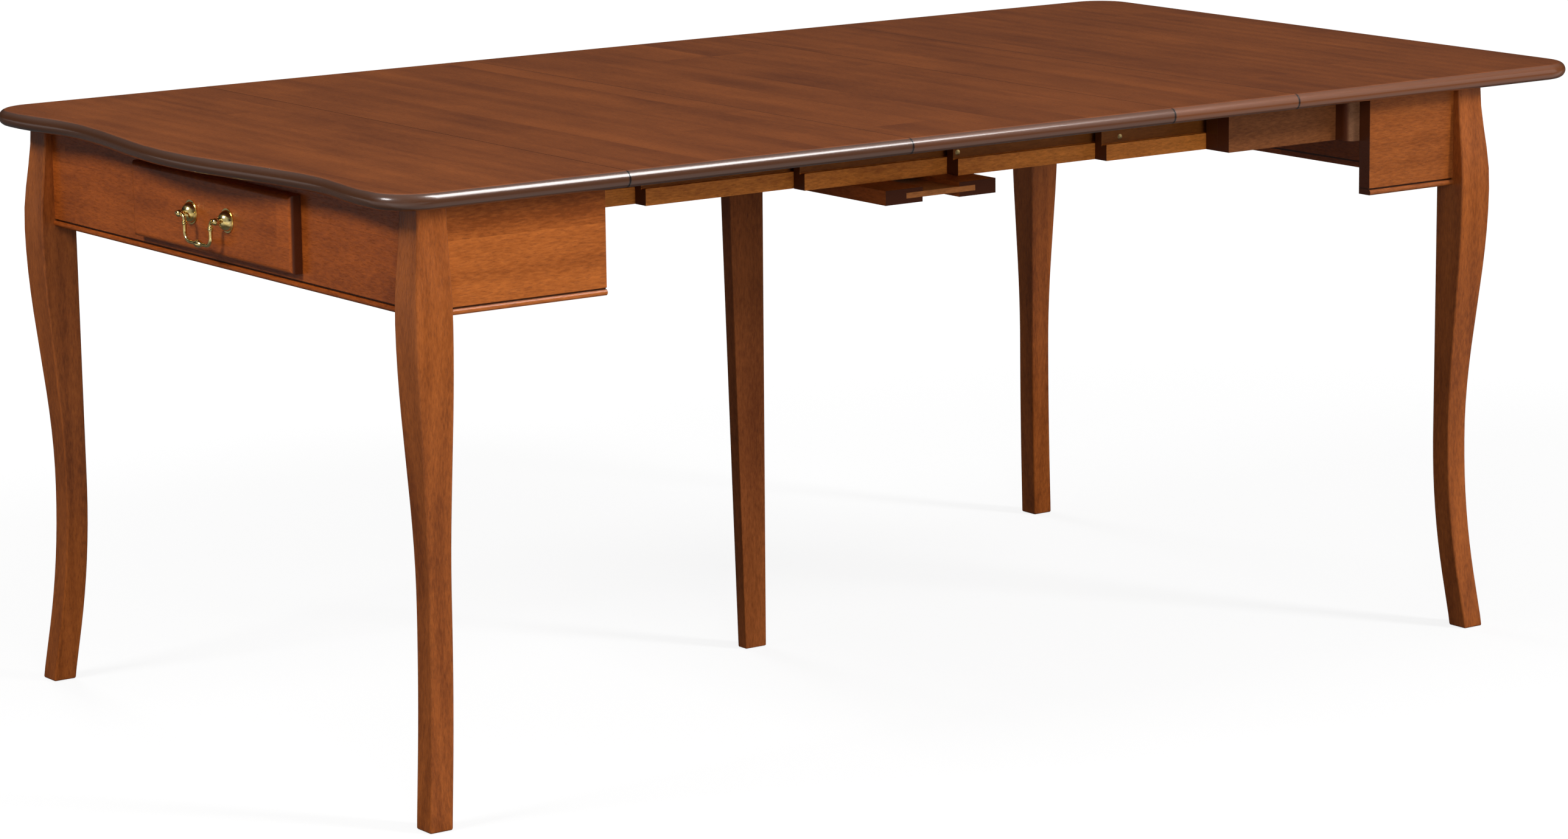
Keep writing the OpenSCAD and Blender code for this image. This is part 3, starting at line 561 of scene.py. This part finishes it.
pale_x = wood("pale wood across", "X", *PALE, seed=118.0, specular=0.2, roughness=0.55)
pale_y = wood("pale wood along", "Y", *PALE, seed=129.0, specular=0.2, roughness=0.55)

# The first of these that a node's name starts with says what the node is made of.
MADE_OF = (
    ("apron_side_back", apron_behind),
    ("apron_side", apron_along),
    ("apron", apron_cross),
    ("leg_", leg_wood),
    ("middle_leg_block", pale_x),
    ("middle_leg", middle_leg_wood),
    ("slide_plank", plank_wood),
    ("slide_spacers", spacer_wood),
    ("slide_", slide_wood),
    ("bearer_plate", plywood),
    ("bearer_", bearer_wood),
    ("corner_braces", pale_x),
    ("drawer_front", drawer_face),
    ("drawer_side", pale_y),
    ("drawer_runner", pale_y),
    ("drawer_kicker", pale_y),
    ("drawer_", pale_x),
    ("leaf_pegs", pale_y),
    ("top_pegs", pale_y),
)
for node in nodes:
    for start, material in MADE_OF:
        if node.startswith(start):
            dress(node, material)
            break
print("boards dressed")

# %% [markdown]
# ## Softened edges
# A joiner takes the sharpness off every edge before staining. The legs show it most: their four
# long edges are rounded, and the curved faces between them are smooth. The CAD mesh is made of
# flat strips, so each leg, and each board of the top, is replaced by a merged copy whose sharp
# edges are bevelled and whose faces are shaded smooth. Weighted normals keep the flats flat.

# %% Soften the legs and the top
MERGE_DISTANCE = 2e-6
FLAT_ANGLE = math.radians(0.5)


def softened(node, width, segments, sharp):
    """Replace a CAD node by a copy with its edges over `sharp` degrees rounded."""
    bpy.ops.object.select_all(action="DESELECT")
    piece = nodes[node].copy()
    piece.data = nodes[node].data.copy()
    piece.name = node + "_softened"
    piece.data.name = piece.name
    piece.parent = None
    piece.matrix_world = Matrix.Identity(4)
    scene.collection.objects.link(piece)
    bpy.context.view_layer.objects.active = piece
    piece.select_set(True)
    if piece.data.has_custom_normals:
        bpy.ops.mesh.customdata_custom_splitnormals_clear()
    bpy.ops.object.mode_set(mode="EDIT")
    bpy.ops.mesh.select_all(action="SELECT")
    bpy.ops.mesh.remove_doubles(threshold=MERGE_DISTANCE)
    bpy.ops.mesh.mark_sharp(clear=True)
    bpy.ops.mesh.dissolve_limited(angle_limit=FLAT_ANGLE)
    bpy.ops.object.mode_set(mode="OBJECT")
    bevel = piece.modifiers.new("rounding", "BEVEL")
    bevel.limit_method = "ANGLE"
    bevel.angle_limit = math.radians(sharp)
    bevel.width = width
    bevel.segments = segments
    bevel.miter_outer = "MITER_ARC"
    bpy.ops.object.modifier_apply(modifier=bevel.name)
    bpy.ops.object.shade_smooth_by_angle(angle=math.radians(sharp))
    weighted = piece.modifiers.new("flats", "WEIGHTED_NORMAL")
    weighted.keep_sharp = True
    bpy.ops.object.modifier_apply(modifier=weighted.name)
    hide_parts(node)
    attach(piece, body_of[node])
    print(piece.name, len(piece.data.polygons), "faces")


for node in ("leg_front_left", "leg_front_right", "leg_back_left", "leg_back_right"):
    softened(node, 0.0025, 3, 40)
softened("middle_leg", 0.002, 2, 40)
for node, _ in BOARDS:
    softened(node, 0.0015, 2, 50)

# %% [markdown]
# ## Brass
# The pull is cast and turned brass, polished and lacquered, a little darker where fingers and a
# cloth don't reach. A metal has almost no colour of its own but what it reflects, so its tint is
# deep and its roughness low, and a soft noise breaks the mirror up.

# %% Brass
BRIGHT_BRASS = (0.90, 0.72, 0.32)
DULL_BRASS = (0.62, 0.45, 0.15)


def brass_finish():
    f = Finish("polished brass")
    x, y, z = f.position()
    blotch = f.noise(f.vector(x * 90.0, y * 90.0, z * 90.0), 3.0, 0.6)
    colour = f.mix(f.step(blotch, 0.35, 0.7), BRIGHT_BRASS, DULL_BRASS)
    normal = f.node("Bevel", {"samples": 4}, {"Radius": 0.0004})
    return f.close(colour=colour, roughness=blotch * 0.2 + 0.06, metallic=1.0, normal=normal)


brass = brass_finish()
for node in ("pull_rosettes", "pull_posts", "pull_bail"):
    dress(node, brass)
bare = [name for name, piece in nodes.items() if len(piece.data.materials) != 1]
print("brass dressed, nodes without a finish:", bare)

# %% [markdown]
# ## Screws
# Small screws hold the slides, the bearers and the top together, and a stop screw sits in the
# groove of every slide member but the last. The photo shows two of them. A countersunk head lies
# almost level with the wood, so that the next slide passes over it. The head is a disc with a
# rounded rim, and a ring around a hollow in it. It is modelled once at the origin, and every screw
# is a copy that is turned and moved in its own mesh. An attribute called recess marks the hollow,
# which is painted near black and not metallic, as painted shade.

# %% One screw head
SCREW_RADIUS = 0.0037
SCREW_PROUD = 0.00024
SCREW_SUNK = 0.0006
WORN_BRASS = (0.80, 0.58, 0.26)
TARNISHED_BRASS = (0.52, 0.36, 0.14)
# Painted shade for the hollow in a screw head
HOLLOW_SHADE = (0.020, 0.012, 0.008)


def select_faces(piece, wanted):
    """In edit mode, select the faces for which wanted(face) is true."""
    edit = bmesh.from_edit_mesh(piece.data)
    for face in edit.faces:
        face.select_set(wanted(face))
    edit.select_flush_mode()
    bmesh.update_edit_mesh(piece.data)


def screw_head(radius, proud, sunk):
    """A head that stands proud of the origin and is sunk below it."""
    bpy.ops.object.select_all(action="DESELECT")
    bpy.ops.mesh.primitive_cylinder_add(vertices=24, radius=radius, depth=proud + sunk,
                                        location=(0, 0, (proud - sunk) / 2))
    head = bpy.context.object
    bpy.ops.object.transform_apply(location=True)
    bpy.ops.object.mode_set(mode="EDIT")
    select_faces(head, lambda face: face.normal.z > 0.9)
    bpy.ops.mesh.bevel(offset=proud * 0.5, segments=2, affect="EDGES")
    select_faces(head, lambda face: face.normal.z > 0.9 and face.calc_area() > radius ** 2)
    bpy.ops.mesh.inset(thickness=radius * 0.32)
    bpy.ops.mesh.inset(thickness=radius * 0.10, depth=-proud * 0.7)
    bpy.ops.object.mode_set(mode="OBJECT")
    recess = head.data.attributes.new("recess", "FLOAT", "POINT")
    for vertex in head.data.vertices:
        hollow = math.hypot(vertex.co.x, vertex.co.y) < radius * 0.63 and vertex.co.z > 0
        recess.data[vertex.index].value = 1.0 if hollow else 0.0
    bpy.ops.object.shade_smooth_by_angle(angle=math.radians(35))
    return head


def screw_finish():
    f = Finish("brass screw")
    x, y, z = f.position()
    tarnish = f.noise(f.vector(x * 700.0, y * 700.0, z * 700.0), 2.0, 0.5)
    hollow = f.step(f.node("Attribute", {"attribute_name": "recess"}, out="Fac"), 0.3, 0.6)
    worn = f.mix(f.step(tarnish, 0.4, 0.7), WORN_BRASS, TARNISHED_BRASS)
    # Painted shade in the hollow: near black and not metallic
    colour = f.mix(hollow, worn, HOLLOW_SHADE)
    return f.close(colour=colour, roughness=tarnish * 0.2 + 0.2, metallic=1 - hollow)


pattern_head = screw_head(SCREW_RADIUS, SCREW_PROUD, SCREW_SUNK)
pattern_head.data.materials.append(screw_finish())
print("screw head", len(pattern_head.data.polygons), "faces")

# %% [markdown]
# ## Where the screws sit
# Each place comes from the box of the piece that the screw is in. The stop screws lie on the floor
# of the grooves, near the end that the next slide leaves free. The others point down, in rows under
# the fixed slides and under the bearers.

# %% Put the screws in
GROOVE_DEPTH = 0.010
STOP_HEIGHT = 0.6970
# From the back end of a member where it is negative, and otherwise from its front end
STOP_SCREWS = {"a": -0.030, "b": -0.030, "c": -0.030, "d": 0.007, "e": 0.030}
TOP_ROW = (0.15, 0.5, 0.85)
BEARER_ROW = (0.28, 0.72)
# How far the rows lie off the middle of the first slides and of the last ones
OFF_MIDDLE = {"a": -0.003, "f": 0.003}
screws = []


def set_screw(name, place, axis, body):
    """Copy the pattern head so that it lies at place and faces along axis."""
    screw = pattern_head.copy()
    screw.data = pattern_head.data.copy()
    screw.name = name
    screw.data.name = name
    scene.collection.objects.link(screw)
    turn = Vector(axis).to_track_quat("Z", "Y").to_matrix().to_4x4()
    screw.data.transform(Matrix.Translation(place) @ turn)
    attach(screw, body)
    screws.append(screw)


def row_below(name, node, x, shares):
    """Screws in the underside of a node, at these shares of its length."""
    low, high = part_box(node)
    for number, share in enumerate(shares):
        y = low[1] + share * (high[1] - low[1])
        set_screw(f"{name}_{number}", (x, y, low[2]), (0, 0, -1), body_of[node])


def middle_x(node):
    low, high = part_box(node)
    return (low[0] + high[0]) / 2


for side, sign in (("left", -1), ("right", 1)):
    for member, inset in STOP_SCREWS.items():
        node = f"slide_{member}_{side}"
        low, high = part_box(node)
        floor_x = max(abs(low[0]), abs(high[0])) - GROOVE_DEPTH
        y = (high[1] if inset < 0 else low[1]) + inset
        set_screw(f"stop_screw_{member}_{side}", (sign * floor_x, y, STOP_HEIGHT), (sign, 0, 0),
                  body_of[node])
    for member, off in OFF_MIDDLE.items():
        node = f"slide_{member}_{side}"
        row_below(f"top_screw_{member}_{side}", node, middle_x(node) + sign * off, TOP_ROW)
    for node in ("bearer_front", "bearer_back"):
        row_below(f"{node}_screw_{side}", node, middle_x(f"slide_c_{side}"), BEARER_ROW)
bpy.data.objects.remove(pattern_head)
print(len(screws), "screws")
